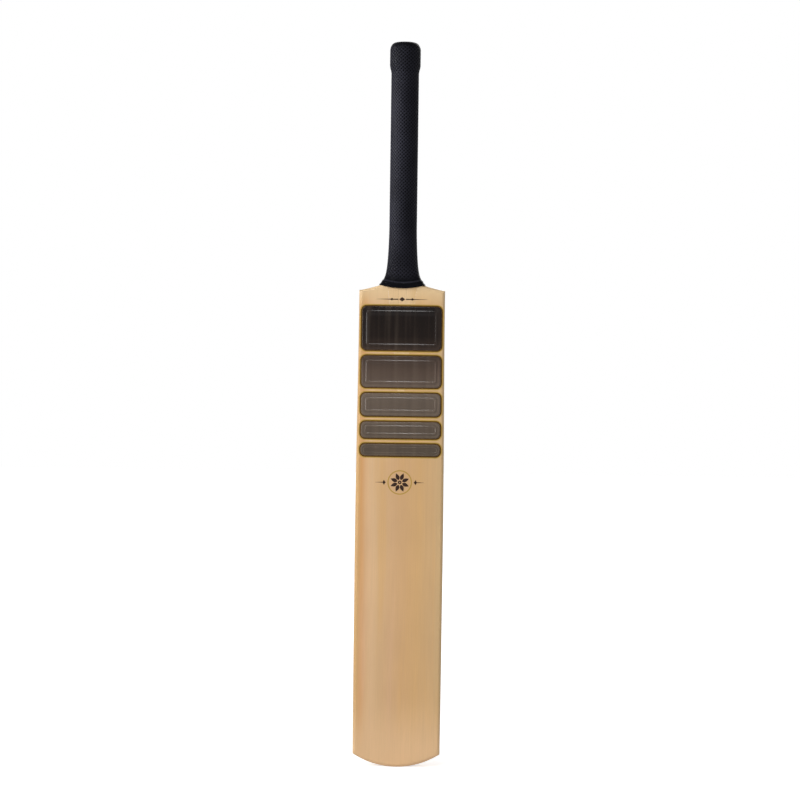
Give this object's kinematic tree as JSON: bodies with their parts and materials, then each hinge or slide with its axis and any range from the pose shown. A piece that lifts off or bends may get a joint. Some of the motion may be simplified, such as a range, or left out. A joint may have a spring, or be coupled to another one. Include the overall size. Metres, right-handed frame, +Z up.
{
  "type": "cricket bat",
  "caption": "Short-handled cricket bat with a bowed willow blade, a spliced cane handle, a flared rubber grip and raised face labels, for striking a ball.",
  "frame": {"origin": "the middle of the bat's width and depth, at the height of the toe's lowest point", "axes": "+Z up along the bat from the toe to the handle, -Y out of the hitting face, +X to the right as seen from the face"},
  "size_m": [0.1034, 0.0644, 0.85],
  "materials": {
    "willow": "satin oiled and sealed willow",
    "cane": "satin sanded cane",
    "spring_rubber": "matte sheet rubber",
    "twine": "waxed twine",
    "grip_rubber": "moulded black rubber with a fine diamond texture",
    "label_film": "glossy embossed film"
  },
  "bodies": {
    "root": {"blade": "willow", "cane_front_left": "cane", "cane_front_middle": "cane", "cane_front_right": "cane", "cane_midfront_left": "cane", "cane_midfront_middle": "cane", "cane_midfront_right": "cane", "cane_midback_left": "cane", "cane_midback_middle": "cane", "cane_midback_right": "cane", "cane_back_left": "cane", "cane_back_middle": "cane", "cane_back_right": "cane", "rubber_spring_front": "spring_rubber", "rubber_spring_middle": "spring_rubber", "rubber_spring_back": "spring_rubber", "handle_binding": "twine", "grip": "grip_rubber", "face_label_1": "label_film", "face_label_2": "label_film", "face_label_3": "label_film", "face_label_4": "label_film", "face_label_5": "label_film"}
  },
  "joints": []
}
